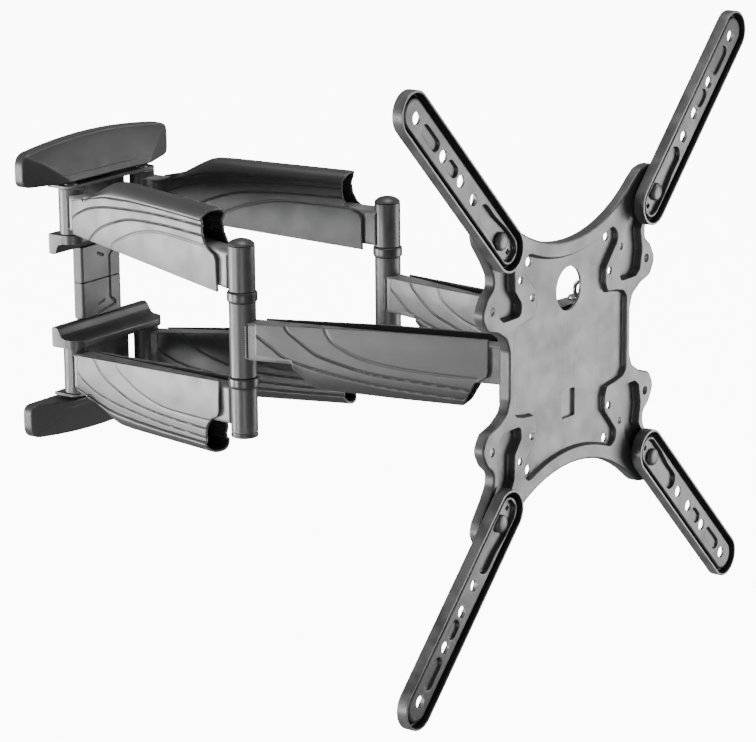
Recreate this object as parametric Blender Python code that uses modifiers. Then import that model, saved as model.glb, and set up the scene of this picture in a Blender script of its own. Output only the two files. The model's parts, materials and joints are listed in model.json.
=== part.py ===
"""Full motion TV wall mount: two folding double arms between a wall bracket and an X-shaped TV plate.

Blender 4.5, metres, +Z up. The wall is the plane Y = 0, the TV is towards -Y, and +X is to the right
of someone who faces the wall. The origin is on the wall, in the middle plane of the arms.
"""

import math

import bmesh
import bpy
from mathutils import Matrix, Vector, geometry

MM = 0.001

# Driving dimensions, in millimetres.
HINGE_X = 42.0  # the four vertical pivots of the wall bracket and of the head sit at +-HINGE_X
HINGE_Y = -18.0  # wall to wall pivot
ARM = 209.7  # pivot to pivot, the same for rear arms and forearms
SPREAD = 13.2  # degrees that each rear arm stands away from straight out, at rest
GAP = 0.3

BARREL_R = 10.0
PIN_R = 5.0
STEEL_T, STEEL_H = 16.0, 28.0
TUBE_WALL = 1.8
WALL_BARREL_Z = 63.0
WALL_BARREL_H = 36.0
ELBOW_BARREL_Z = 53.0
ELBOW_BARREL_H = 34.0
ELBOW_ARM_Z = 50.2  # height of a rear arm's tube where it meets the elbow
FORE_BARREL_H = 56.0
RING_H = 7.4

COVER_HALF = 11.0
COVER_WALL = 1.8

PLATE_Z = 3.0  # centre of the TV plate above the middle plane of the arms
PLATE_LOBE = 21.7  # head pivot to the front of the plate's lobes
SHEET = 2.0
PANEL_DEPTH = 3.5  # pressed middle of the plate, below its lobes
SEAT_DEPTH = 5.5  # pressed seats for the extension arms
PLATE_RIM = 8.0
ARM_PIVOT = 100.0
BOLT_PATTERN = (135.0, 150.0, 170.0, 200.0)  # half of each square hole pattern on the extension arms

spread = math.radians(SPREAD)
ELBOW_X = HINGE_X + ARM * math.sin(spread)
ELBOW_Y = HINGE_Y - ARM * math.cos(spread)
HEAD_Y = HINGE_Y - 2 * ARM * math.cos(spread)
LOBE_Y = HEAD_Y - PLATE_LOBE

STEEL = ("black_steel", (0.045, 0.045, 0.048, 1), 0.42, 0.6)
COVER = ("black_plastic", (0.05, 0.05, 0.052, 1), 0.5, 0.0)
HARDWARE = ("zinc_hardware", (0.3, 0.3, 0.31, 1), 0.35, 1.0)
NYLON = ("nylon", (0.03, 0.03, 0.03, 1), 0.45, 0.0)


def clear_scene():
    for obj in list(bpy.data.objects):
        bpy.data.objects.remove(obj, do_unlink=True)


def new_collection(name, hidden=False):
    collection = bpy.data.collections.new(name)
    bpy.context.scene.collection.children.link(collection)
    collection.hide_render = hidden
    return collection


clear_scene()
MOUNT = new_collection("full_motion_tv_mount")
CUTTERS = new_collection("cutters", hidden=True)


def material(spec, name):
    """A Principled material of this part's own, from a (name, colour, roughness, metallic) finish."""
    finish, colour, roughness, metallic = spec
    mat = bpy.data.materials.new(f"{finish}.{name}")
    mat.use_nodes = True
    shader = mat.node_tree.nodes["Principled BSDF"]
    shader.inputs["Base Color"].default_value = colour
    shader.inputs["Roughness"].default_value = roughness
    shader.inputs["Metallic"].default_value = metallic
    return mat


def add_part(name, mesh, spec, pivot=(0, 0, 0)):
    """A node of the mount. Its mesh is given in place, in metres; its origin moves to the pivot."""
    pivot = Vector(pivot) * MM
    mesh.transform(Matrix.Translation(-pivot))
    mesh.materials.clear()
    mesh.materials.append(material(spec, name))
    mesh.shade_smooth()
    mesh.set_sharp_from_angle(angle=math.radians(32))
    obj = bpy.data.objects.new(name, mesh)
    obj.location = pivot
    MOUNT.objects.link(obj)
    return obj


def add_cutter(mesh):
    obj = bpy.data.objects.new("cutter", mesh)
    obj.hide_render = True
    obj.display_type = "WIRE"
    CUTTERS.objects.link(obj)
    return obj


def combine(obj, operation, *meshes):
    """Adds one exact Boolean for each mesh."""
    for mesh in meshes:
        boolean = obj.modifiers.new(operation.lower(), "BOOLEAN")
        boolean.operation = operation
        boolean.solver = "EXACT"
        boolean.object = add_cutter(mesh)
    return obj


def cut(obj, *meshes):
    return combine(obj, "DIFFERENCE", *meshes)


def join(obj, *meshes):
    return combine(obj, "UNION", *meshes)


def to_mesh(bm):
    mesh = bpy.data.meshes.new("shape")
    bmesh.ops.recalc_face_normals(bm, faces=bm.faces)
    bm.to_mesh(mesh)
    bm.free()
    return mesh


def plane(origin, right, up):
    """The matrix that lays an outline's x along `right` and y along `up`, at `origin` (millimetres)."""
    right, up = Vector(right).normalized(), Vector(up).normalized()
    out = right.cross(up)
    return Matrix.Translation(Vector(origin) * MM) @ Matrix((right, up, out)).transposed().to_4x4()


FRONT = plane((0, 0, 0), (1, 0, 0), (0, 0, 1))  # outline in X, Z; its depth runs towards -Y
SIDE = plane((0, 0, 0), (0, -1, 0), (0, 0, 1))  # outline in -Y, Z; its depth runs towards -X
LEVEL = plane((0, 0, 0), (1, 0, 0), (0, 1, 0))  # outline in X, Y; its depth runs towards +Z


def inside(point, loop):
    """Even-odd test of a point against a closed loop."""
    x, y = point
    crossings = 0
    for (ax, ay), (bx, by) in zip(loop, loop[1:] + loop[:1]):
        if (ay > y) != (by > y) and x < ax + (bx - ax) * (y - ay) / (by - ay):
            crossings += 1
    return crossings % 2 == 1


class Shell:
    """A closed surface built square to one plane, from flat fills and the upright bands between them."""

    def __init__(self):
        self.bm = bmesh.new()

    def fill(self, depth, outline, *holes):
        """A flat face at this depth, inside the outline and outside its holes."""
        points, edges = [], []
        for loop in (outline, *holes):
            first = len(points)
            points += [Vector(p) for p in loop]
            edges += [(first + i, first + (i + 1) % len(loop)) for i in range(len(loop))]
        flat, _, faces, *_ = geometry.delaunay_2d_cdt(points, edges, [], 1, 1e-6)
        verts = [self.bm.verts.new((p.x * MM, p.y * MM, depth * MM)) for p in flat]
        for face in faces:
            centre = sum((flat[i] for i in face), Vector((0, 0))) / 3
            if inside(centre, outline) and not any(inside(centre, hole) for hole in holes):
                self.bm.faces.new([verts[i] for i in face])

    def band(self, loop, low, high):
        """The upright faces along a loop, between two depths."""
        for (ax, ay), (bx, by) in zip(loop, loop[1:] + loop[:1]):
            corners = ((ax, ay, low), (bx, by, low), (bx, by, high), (ax, ay, high))
            self.bm.faces.new([self.bm.verts.new(Vector(c) * MM) for c in corners])

    def mesh(self, frame):
        bmesh.ops.remove_doubles(self.bm, verts=self.bm.verts, dist=1e-6)
        spare = [v for v in self.bm.verts if not v.link_faces]
        bmesh.ops.delete(self.bm, geom=spare, context="VERTS")
        bmesh.ops.transform(self.bm, matrix=frame, verts=self.bm.verts)
        return to_mesh(self.bm)


def prism(outline, low, high, frame=LEVEL, holes=()):
    """A flat outline with holes, extruded from low to high along the frame's depth."""
    shell = Shell()
    for depth in (low, high):
        shell.fill(depth, outline, *holes)
    for loop in (outline, *holes):
        shell.band(loop, low, high)
    return shell.mesh(frame)


def rod(centre, direction, radius, low, high, sides=16, radius2=None):
    """A cylinder or cone along `direction` through `centre`, from low to high."""
    bm = bmesh.new()
    bmesh.ops.create_cone(
        bm,
        cap_ends=True,
        segments=sides,
        radius1=radius * MM,
        radius2=(radius if radius2 is None else radius2) * MM,
        depth=(high - low) * MM,
    )
    turn = Vector((0, 0, 1)).rotation_difference(Vector(direction)).to_matrix().to_4x4()
    place = Matrix.Translation(Vector(centre) * MM) @ turn @ Matrix.Translation((0, 0, (low + high) / 2 * MM))
    bmesh.ops.transform(bm, matrix=place, verts=bm.verts)
    return to_mesh(bm)


def upright(x, y, radius, low, high, sides=16):
    return rod((x, y, 0), (0, 0, 1), radius, low, high, sides)


def block(low, high):
    """A box between two corners."""
    bm = bmesh.new()
    bmesh.ops.create_cube(bm, size=1)
    size = Vector(high) - Vector(low)
    centre = (Vector(high) + Vector(low)) / 2
    bmesh.ops.scale(bm, vec=size * MM, verts=bm.verts)
    bmesh.ops.translate(bm, vec=centre * MM, verts=bm.verts)
    return to_mesh(bm)


def hull(points):
    """The convex solid round a few points."""
    bm = bmesh.new()
    verts = [bm.verts.new(Vector(p) * MM) for p in points]
    made = bmesh.ops.convex_hull(bm, input=verts)
    spare = {v for v in made["geom_interior"] + made["geom_unused"] if isinstance(v, bmesh.types.BMVert)}
    bmesh.ops.delete(bm, geom=list(spare), context="VERTS")
    bmesh.ops.dissolve_limit(bm, angle_limit=math.radians(0.5), verts=bm.verts, edges=bm.edges)
    return to_mesh(bm)


def arc(cx, cy, radius, start, end, count):
    """Points along a round stretch, angles in degrees."""
    angles = [math.radians(start + (end - start) * i / count) for i in range(count + 1)]
    return [(cx + radius * math.cos(a), cy + radius * math.sin(a)) for a in angles]


def circle(cx, cy, radius, count=20):
    return arc(cx, cy, radius, 0, 360 - 360 / count, count - 1)


def rounded(cx, cy, half_x, half_y, radius, count=3):
    corners = ((1, 1, 0), (-1, 1, 90), (-1, -1, 180), (1, -1, 270))
    points = []
    for sx, sy, start in corners:
        points += arc(cx + sx * (half_x - radius), cy + sy * (half_y - radius), radius, start, start + 90, count)
    return points


def four_way(quarter):
    """A closed loop from its quarter, given from the +X axis round to the +Y axis."""
    half = quarter + [(-x, y) for x, y in quarter[::-1] if x > 1e-6]
    return half + [(x, -y) for x, y in half[::-1] if y > 1e-6]


def turned(profile, name, spec, place, steps=16, ring=False):
    """A part turned round its own Z axis from (radius, height) points that run down its outer side.

    A ring's profile closes on itself; any other starts and ends on the axis."""
    bm = bmesh.new()
    verts = [bm.verts.new((r * MM, 0, z * MM)) for r, z in profile]
    for a, b in zip(verts, verts[1:] + verts[:1] if ring else verts[1:]):
        bm.edges.new((a, b))
    mesh = bpy.data.meshes.new(name)
    bm.to_mesh(mesh)
    bm.free()
    mesh.materials.append(material(spec, name))
    obj = bpy.data.objects.new(name, mesh)
    obj.matrix_world = place
    MOUNT.objects.link(obj)
    screw = obj.modifiers.new("turn", "SCREW")
    screw.steps = screw.render_steps = steps
    screw.use_merge_vertices = True
    screw.merge_threshold = 1e-5
    screw.use_smooth_shade = True
    return obj


def standing(x, y, z, flip=False):
    """The place of a turned part on an upright axis, upside down when flip is set."""
    return Matrix.Translation(Vector((x, y, z)) * MM) @ Matrix.Rotation(math.pi if flip else 0, 4, "X")


def facing_tv(x, y, z):
    """The place of a turned part whose own +Z points at the TV."""
    return Matrix.Translation(Vector((x, y, z)) * MM) @ Matrix.Rotation(math.pi / 2, 4, "X")


# ---------------------------------------------------------------- wall side

BAR_Z, BAR_HALF = 95.0, 74.0
PLATE_T = 3.0
COLUMN_HALF = 22.5
COLUMN_FRONT = 8.5
WALL_BOLT_X = 58.0
FLANGE_HALF = HINGE_X + 12.0
FLANGE_T = 2.0


def wall_plate():
    """Steel back plate: a column with a wide bar at each end, which the wall bolts pass through."""
    outline = four_way([(20, 0), (20, 88), (BAR_HALF, 88), (BAR_HALF, 101), (0, 101)])
    slots = [
        [(sx * WALL_BOLT_X + x, sz * BAR_Z + z) for x, z in rounded(0, 0, 7, 3.6, 3.5)]
        for sx in (-1, 1)
        for sz in (-1, 1)
    ]
    return add_part("wall_plate", prism(outline, 0, PLATE_T, FRONT, slots), STEEL)


def wall_bolt(name, sx, sz):
    """Lag bolt head with its washer, seated on the wall plate, and a short shank through the slot."""
    profile = [(0, 5.6), (5.2, 5.6), (5.2, 2.4), (7.0, 2.4), (7.0, GAP), (3.0, GAP), (3.0, -2.9), (0, -2.9)]
    turned(profile, name, HARDWARE, facing_tv(sx * WALL_BOLT_X, -PLATE_T, sz * BAR_Z), 8)


def hinge_bracket(name, sign):
    """C-shaped bracket: a scooped block on one side of the arms, a thin flange on the other, and a web."""
    seat = WALL_BARREL_Z - WALL_BARREL_H / 2 - GAP
    high = WALL_BARREL_Z + WALL_BARREL_H / 2 + GAP
    back = -PLATE_T - GAP
    ends = arc(HINGE_X, HINGE_Y, 12, -90, 0, 5)
    outline = ends + [(FLANGE_HALF, back), (-FLANGE_HALF, back)] + [(-x, y) for x, y in ends[::-1]]
    bores = [circle(sx * HINGE_X, HINGE_Y, PIN_R + GAP, 12) for sx in (-1, 1)]

    def level(low, high):
        return prism(outline, *sorted((sign * low, sign * high)), LEVEL, bores)

    scoop = [(-back, seat - 1), (-back, 29.5), (7.5, 28.7), (10.5, 31), (14, 34.5), (17.5, 36.8), (21, 38.6), (21, seat - 1)]
    body = add_part(name, level(38, seat), STEEL)
    join(body, level(high, high + FLANGE_T))
    between = HINGE_X - PIN_R - 3
    low_web, high_web = sorted((sign * (seat - 2), sign * (high + 1.5)))
    join(body, block((-between, back - 3.5, low_web), (between, back - 0.2, high_web)))
    for x, half in ((0, between), (-FLANGE_HALF + 2.5, 2.2), (FLANGE_HALF - 2.5, 2.2)):
        join(body, prism([(y, sign * z) for y, z in scoop], x - half, x + half, SIDE))
    return body


def hinge_pin(name, sx, sign):
    """Pivot pin through one wall barrel: a low head on the thin flange and a shank down to the block."""
    top = WALL_BARREL_Z + WALL_BARREL_H / 2 + GAP + FLANGE_T
    bottom = WALL_BARREL_Z - WALL_BARREL_H / 2 - 8.0
    profile = [(0, 1.8), (6.6, 1.8), (7.4, 1.2), (7.4, GAP), (PIN_R, GAP), (PIN_R, bottom - top), (0, bottom - top)]
    turned(profile, name, HARDWARE, standing(sx * HINGE_X, HINGE_Y, sign * top, sign < 0), 12)


def end_cover(name, sign):
    """Snap-on cover of one end of the wall plate: an arched shell that leans out to its inner edge."""

    def arch(width, base, tip, crown, y):
        points = [(sx * width * 0.98, y, base) for sx in (-1, 1)] + [(sx * width, y, tip) for sx in (-1, 1)]
        for i in range(1, 8):
            t = i / 8
            points.append((width * (2 * t - 1), y, tip + (crown - tip) * math.sin(math.pi * t) ** 0.8))
        return points

    def shell(inset, back):
        points = arch(86 - inset, 85.5, 103 - inset, 117 - inset, back)
        points += arch(84 - inset, 85.5, 100 - inset, 113.5 - inset, -9 + inset)
        points += [(sx * (57 - inset), -24 + inset, 85.5) for sx in (-1, 1)]
        return [(x, y, sign * z) for x, y, z in points]

    cover = add_part(name, hull(shell(0, -0.5)), COVER)
    cavity = [(x, y, z - sign * (1.0 if abs(z) < 86 else 0)) for x, y, z in shell(2.2, 1.0)]
    return cut(cover, hull(cavity))


def column_cover(name, low, high):
    """Half of the clip-on cover between the two brackets: a channel open at the back, grooved in front."""
    half, front = COLUMN_HALF, COLUMN_FRONT
    section = [(-half, 0.6), (-half, front - 2), (-half + 2, front), (8.9, front), (8.9, front - 0.7)]
    section += [(10.1, front - 0.7), (10.1, front), (half - 2, front), (half, front - 2), (half, 0.6)]
    section += [(half - 1.6, 0.6), (half - 1.6, front - 1.8), (-half + 1.6, front - 1.8), (-half + 1.6, 0.6)]
    to_wall = plane((0, 0, 0), (1, 0, 0), (0, -1, 0))
    return add_part(name, prism(section, -high, -low, to_wall), COVER)


def bush(name, x, y, low, high, inner, outer):
    """Nylon thrust washer round a pin."""
    tall = high - low
    profile = [(inner, tall), (outer - 0.8, tall), (outer, tall - 0.8), (outer, 0.8), (outer - 0.8, 0), (inner, 0)]
    turned(profile, name, NYLON, standing(x, y, low), 16, ring=True)


# ---------------------------------------------------------------- arms

class ArmFrame:
    """The upright plane of one arm: s runs from its first pivot to its second, and z runs up."""

    def __init__(self, start, end):
        self.start = Vector((*start, 0))
        self.along = (Vector((*end, 0)) - self.start).normalized()
        self.frame = plane(self.start, self.along, (0, 0, 1))

    def prism(self, outline, half):
        return prism(outline, -half, half, self.frame)


def arm_steel(name, arm, tube, barrels, pivot):
    """A welded arm: a flat tube between two bored barrels, with a small drain hole under its first end.

    The tube's outline goes low, low, high, high, and each barrel is (s, low, high)."""
    steel = add_part(name, arm.prism(tube, STEEL_T / 2), STEEL, pivot)
    ends = [arm.start + arm.along * s for s, low, high in barrels]
    for end, (s, low, high) in zip(ends, barrels):
        join(steel, upright(end.x, end.y, BARREL_R, low, high))
        cut(steel, upright(end.x, end.y, PIN_R + GAP, low - 5, high + 5))
    wall = math.copysign(TUBE_WALL, tube[3][1] - tube[0][1])
    inner = [(s + run, z + rise) for (s, z), run, rise in zip(tube, (9, -9, -9, 9), (wall, wall, -wall, -wall))]
    cut(steel, arm.prism(inner, STEEL_T / 2 - TUBE_WALL))
    drain = arm.start + arm.along * 26
    cut(steel, upright(drain.x, drain.y, 1.6, *sorted((tube[0][1] - 3 * wall, tube[0][1] + 3 * wall)), 8))
    return steel


def flip_z(outline, sign):
    return [(s, sign * z) for s, z in outline]


def channel_cover(name, arm, outline, hollow, pivot):
    """Cable cover that straddles an arm: two cheeks joined by a duct, open below and at both ends."""
    outer = arm.prism(outline, COVER_HALF)
    cover = add_part(name, outer, COVER, pivot)
    round_edge = cover.modifiers.new("soft edge", "BEVEL")
    round_edge.width = 2.4 * MM
    round_edge.segments = 2
    round_edge.limit_method = "ANGLE"
    round_edge.angle_limit = math.radians(60)
    return cut(cover, arm.prism(hollow, COVER_HALF - COVER_WALL))


REAR_COVER = [(15, 48), (193, 33.5), (193, 60), (184, 64.5), (177.5, 71), (176, 84), (181, 92), (66, 95),
              (29, 77), (15, 74.5)]
REAR_HOLLOW = [(5, 40), (205, 26), (205, 90.3), (66.5, 93), (33, 76.7), (33, 100), (5, 100)]
FORE_COVER = [(16, -9), (42, -17), (57, -28.5), (66, -31.5), (173, -33), (184, -13), (195, -9), (195, 19),
              (113, 18), (16, 15)]
FORE_HOLLOW = [(5, -40), (43.5, -40), (43.5, -15.5), (57.5, -26.5), (66.5, -29.5), (210, -31), (210, 30), (5, 30)]


def rear_arm(side_name, side):
    """Both rear arms of one side with their covers and the elbow parts that turn with them."""
    wall = (side * HINGE_X, HINGE_Y)
    elbow = (side * ELBOW_X, ELBOW_Y)
    arm = ArmFrame(wall, elbow)
    pivot = (*wall, 0)
    half = STEEL_H / 2
    for level, sign in (("upper", 1), ("lower", -1)):
        tube = [(4, WALL_BARREL_Z - half), (ARM - 4, ELBOW_ARM_Z - half), (ARM - 4, ELBOW_ARM_Z + half),
                (4, WALL_BARREL_Z + half)]
        spans = [(0, WALL_BARREL_Z, WALL_BARREL_H), (ARM, ELBOW_BARREL_Z, ELBOW_BARREL_H)]
        barrels = [(s, *sorted((sign * (z - h / 2), sign * (z + h / 2)))) for s, z, h in spans]
        arm_steel(f"{side_name}_{level}_rear_arm", arm, flip_z(tube, sign), barrels, pivot)
        channel_cover(f"{side_name}_{level}_rear_cover", arm, flip_z(REAR_COVER, sign),
                      flip_z(REAR_HOLLOW, sign), pivot)
        top = ELBOW_BARREL_Z + ELBOW_BARREL_H / 2
        cap = [(0, 4.6), (3.6, 4.4), (7.0, 3.6), (9.2, 2.2), (10.0, 0.4), (10.0, 0), (0, 0)]
        flat = [(0, 3.2), (9.6, 3.2), (10.2, 2.6), (10.2, 0.6), (9.8, 0), (0, 0)]
        turned(cap if sign > 0 else flat, f"{side_name}_elbow_{'top' if sign > 0 else 'bottom'}_cap", COVER,
               standing(*elbow, sign * (top + GAP), sign < 0))
    shaft = upright(*elbow, PIN_R, -ELBOW_BARREL_Z - ELBOW_BARREL_H / 2, ELBOW_BARREL_Z + ELBOW_BARREL_H / 2, 12)
    add_part(f"{side_name}_elbow_shaft", shaft, HARDWARE, pivot)


def forearm(side_name, side):
    """The single forearm of one side, between the rear arms' elbow and the head."""
    elbow = (side * ELBOW_X, ELBOW_Y)
    head = (side * HINGE_X, HEAD_Y)
    arm = ArmFrame(elbow, head)
    half, tall = STEEL_H / 2, FORE_BARREL_H / 2
    tube = [(4, -half), (ARM - 4, -half), (ARM - 4, half), (4, half)]
    arm_steel(f"{side_name}_forearm", arm, tube, [(0, -tall, tall), (ARM, -tall, tall)], (*elbow, 0))
    channel_cover(f"{side_name}_forearm_cover", arm, FORE_COVER, FORE_HOLLOW, (*elbow, 0))
    for level, low in (("upper", tall + GAP), ("lower", -tall - GAP - RING_H)):
        bush(f"{side_name}_{level}_elbow_ring", *elbow, low, low + RING_H, PIN_R + GAP, 11.2)


# ---------------------------------------------------------------- head and TV plate

FLANGE_LOW, FLANGE_HIGH = FORE_BARREL_H / 2 + GAP, FORE_BARREL_H / 2 + GAP + 3.0
LUG_HALF = 20.0
EAR_IN, EAR_OUT = LUG_HALF + GAP, LUG_HALF + GAP + 3.0
TILT_BOLT_R = 4.0


def head_yoke():
    """Head: two flanges that hold the forearms' pins, round a middle lug bored for the tilt bolt."""
    tip = arc(HINGE_X, 0, 9.2, -90, 90, 6)
    outline = tip + [(26, 10.5), (-26, 10.5)] + [(-x, y) for x, y in tip[::-1]] + [(-30, -9.2), (-24, -5), (24, -5), (30, -9.2)]
    outline = [(x, HEAD_Y + y) for x, y in outline]
    yoke = add_part("head_yoke", prism(outline, FLANGE_LOW, FLANGE_HIGH), STEEL, (HINGE_X, HEAD_Y, 0))
    join(yoke, prism(outline, -FLANGE_HIGH, -FLANGE_LOW))
    join(yoke, block((-LUG_HALF, HEAD_Y - 5.5, -FLANGE_LOW - 1), (LUG_HALF, HEAD_Y + 8, FLANGE_LOW + 1)))
    for sx in (-1, 1):
        cut(yoke, upright(sx * HINGE_X, HEAD_Y, PIN_R + GAP, -50, 50, 12))
    cut(yoke, rod((0, HEAD_Y, 0), (1, 0, 0), TILT_BOLT_R + GAP, -40, 40, 10))
    return yoke


def head_pin(name, side):
    """Pivot pin between forearm and head, with an upright eye for a cable tie on top."""
    low = -FLANGE_HIGH - 1.5
    pin = add_part(name, upright(side * HINGE_X, HEAD_Y, PIN_R, low, FLANGE_HIGH + 1, 12), HARDWARE,
                   (side * HINGE_X, HEAD_Y, 0))
    join(pin, upright(side * HINGE_X, HEAD_Y, 7.4, FLANGE_HIGH + GAP, FLANGE_HIGH + 2.3, 12))
    eye = (side * HINGE_X, HEAD_Y, FLANGE_HIGH + 7.4)
    join(pin, rod(eye, (0, 1, 0), 6.2, -1.6, 1.6, 14))
    cut(pin, rod(eye, (0, 1, 0), 3.2, -5, 5, 10))
    return pin


def tilt_bracket():
    """U-shaped bracket on the back of the TV plate, whose two ears clasp the yoke's lug."""
    back = LOBE_Y + PANEL_DEPTH + SHEET + GAP
    base = rounded(0, 0, 30, 22, 4)
    bracket = add_part("tilt_bracket", prism(base, -back - 2.2, -back, FRONT), STEEL, (0, HEAD_Y, 0))
    join(bracket, prism(rounded(0, -32, 13, 14, 3), -back - 2.2, -back, FRONT))
    for sx in (-1, 1):
        ear = [(-back - 1, -14), (-back - 1, 14)] + arc(-HEAD_Y, 0, 9.5, 80, -80, 6)
        inner, outer = sx * EAR_IN, sx * EAR_OUT
        join(bracket, prism(ear, min(-inner, -outer), max(-inner, -outer), SIDE))
    cut(bracket, rod((0, HEAD_Y, 0), (1, 0, 0), TILT_BOLT_R + GAP, -40, 40, 10))
    return bracket


def tilt_fasteners():
    """The bolt that the plate tilts on, and its locking nut."""
    turn = Matrix.Translation(Vector((0, HEAD_Y, 0)) * MM) @ Matrix.Rotation(math.pi / 2, 4, "Y")
    bolt = [(0, 28.4), (TILT_BOLT_R, 28.4), (TILT_BOLT_R, -EAR_OUT - GAP), (6.4, -EAR_OUT - GAP),
            (6.4, -EAR_OUT - 4.0), (5.6, -EAR_OUT - 4.8), (0, -EAR_OUT - 4.8)]
    turned(bolt, "tilt_bolt", HARDWARE, turn, 10)
    nut = add_part("tilt_nut", rod((0, HEAD_Y, 0), (1, 0, 0), 6.6, EAR_OUT + GAP, EAR_OUT + 4.5, 6), HARDWARE,
                   (0, HEAD_Y, 0))
    cut(nut, rod((0, HEAD_Y, 0), (1, 0, 0), TILT_BOLT_R + GAP, 10, 40, 10))


ARC_CENTRE, ARC_R = 212.0, 130.0


def concave(radius, wide, count):
    """The hollow curve along the top of the plate, from `wide` to the middle."""
    xs = [wide * (1 - i / count) for i in range(count + 1)]
    return [(x, ARC_CENTRE - math.sqrt(radius**2 - x * x)) for x in xs]


def plate_outline(inset=0.0):
    side = [(78.5 - inset, 0), (78.5 - inset, 19), (81 - inset, 25), (87, 29.5 + inset), (94, 34 + inset)]
    lobe = arc(99, 48, 12.5 - inset, -60, 60, 4)
    leg = [(98 - inset, 66), (98.5 - inset, 74), (104 - inset, 84), (115 - inset, 100)]
    tip = arc(102, 105, 14.5 - inset, -15, 95, 4)
    return four_way(side + lobe + leg + tip + concave(ARC_R + inset, 90 - inset, 6))


def panel_outline(grow=0.0):
    """The pressed middle of the plate, which stops round the raised hole groups."""
    side = [(73 + grow, 0), (73 + grow, 27), (69 + grow, 31 + grow), (60, 33.5 + grow), (50, 35 + grow)]
    boss = [(44 + grow, 42), (44 + grow, 53), (60 + grow, 71), (59 + grow, 77), (53, 82 + grow)]
    return four_way(side + boss + concave(ARC_R + 11 - grow, 44, 5))


def seat_outline(sx, sz, grow=0.0):
    """The pressed seat under one extension arm, out to the leg's tip."""
    inner = [(73 - grow, 76), (72 - grow, 58), (64 - grow, 48), (65 - grow, 40 - grow)]
    outer = [(86, 40 - grow), (91 + grow, 44), (93 + grow, 58), (91 + grow, 73), (99 + grow, 86)]
    tip = [(110 + grow, 103), (110 + grow, 109 + grow), (101, 115 + grow), (91 - grow, 108 + grow)]
    return [(sx * x, sz * z) for x, z in inner + outer + tip]


PLATE_FRAME = plane((0, LOBE_Y, PLATE_Z), (1, 0, 0), (0, 0, 1))  # depth runs towards the TV


def tv_plate():
    """Pressed steel X plate with a rim turned back, a sunk middle, four arm seats and its holes."""
    corners = [(sx, sz) for sx in (-1, 1) for sz in (-1, 1)]

    def in_corners(x, z, radius):
        return [circle(sx * x, sz * z, radius, 8) for sx, sz in corners]

    small = in_corners(100, 50, 3.4) + in_corners(50, 50, 3.0) + in_corners(65, 65, 2.6)
    window = rounded(1.5, -38, 8.5, 10.5, 2, 1)
    sunk = [circle(1.5, 46, 16, 18), window, *in_corners(50, 75, 3.6)]
    bores = in_corners(ARM_PIVOT, ARM_PIVOT, 4.5)
    shell = Shell()
    for behind, grow in ((0.0, 0.0), (SHEET, SHEET)):
        seats = [seat_outline(sx, sz, grow) for sx, sz in corners]
        rim, panel = plate_outline(grow), panel_outline(grow)
        shell.fill(-behind, rim, panel, *seats, *small)
        shell.band(rim, -PLATE_RIM, -behind)
        shell.fill(-behind - PANEL_DEPTH, panel, *sunk)
        shell.band(panel, -behind - PANEL_DEPTH, -behind)
        for seat, bore in zip(seats, bores):
            shell.fill(-behind - SEAT_DEPTH, seat, bore)
            shell.band(seat, -behind - SEAT_DEPTH, -behind)
    shell.fill(-PLATE_RIM, plate_outline(), plate_outline(SHEET))
    for depth, holes in ((0, small), (PANEL_DEPTH, sunk), (SEAT_DEPTH, bores)):
        for hole in holes:
            shell.band(hole, -depth - SHEET, -depth)
    return add_part("tv_plate", shell.mesh(PLATE_FRAME), STEEL, (0, HEAD_Y, 0))


ARM_HALF = 16.0
ARM_INNER, ARM_OUTER = 93.0, 203.0
FLOOR_FRONT = 6.4
ARM_RIM = 11.0
RECESS_FRONT = 2.5


def extension_arm(name, sx, sz):
    """Pressed tray on the TV plate's leg: its rim stands towards the TV, and its inner end is sunk."""
    pivot = Vector((sx * ARM_PIVOT, LOBE_Y, PLATE_Z + sz * ARM_PIVOT))
    frame = tray_frame(sx, sz, pivot)
    reach = math.sqrt(2)
    inner, outer = (ARM_INNER - ARM_PIVOT) * reach, (ARM_OUTER - ARM_PIVOT) * reach

    def stadium(half):
        return arc(outer, 0, half, -90, 90, 7) + arc(inner, 0, half, 90, 270, 7)

    def keyhole(grow):
        return arc(31, 0, 7.5 + grow, -70, 70, 3) + arc(inner - 1, 0, 10.5 + grow, 100, 260, 5)

    bolt_holes = [circle((half - ARM_PIVOT) * reach, 0, 4.4, 10) for half in BOLT_PATTERN]
    sunk_holes = [circle(0, 0, 4.3, 10), rounded(-11.5, 0, 1.8, 2.4, 0.5, 1)]
    rim_in, rim_out = stadium(ARM_HALF - SHEET), stadium(ARM_HALF)
    shell = Shell()
    shell.fill(ARM_RIM, rim_out, rim_in)
    shell.band(rim_in, FLOOR_FRONT, ARM_RIM)
    shell.band(rim_out, FLOOR_FRONT - SHEET, ARM_RIM)
    for behind, edge, recess in ((0.0, rim_in, keyhole(0)), (SHEET, rim_out, keyhole(SHEET))):
        shell.fill(FLOOR_FRONT - behind, edge, recess, *bolt_holes)
        shell.band(recess, RECESS_FRONT - behind, FLOOR_FRONT - behind)
        shell.fill(RECESS_FRONT - behind, recess, *sunk_holes)
    for depth, holes in ((FLOOR_FRONT, bolt_holes), (RECESS_FRONT, sunk_holes)):
        for hole in holes:
            shell.band(hole, depth - SHEET, depth)
    return add_part(name, shell.mesh(frame), STEEL, pivot)


def tray_frame(sx, sz, pivot):
    """An arm's own plane: x runs out along the diagonal, and the depth runs towards the TV."""
    along = Vector((sx, 0, sz)).normalized()
    across = Vector((0, -1, 0)).cross(along)
    return plane(pivot, along, across)


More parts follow.
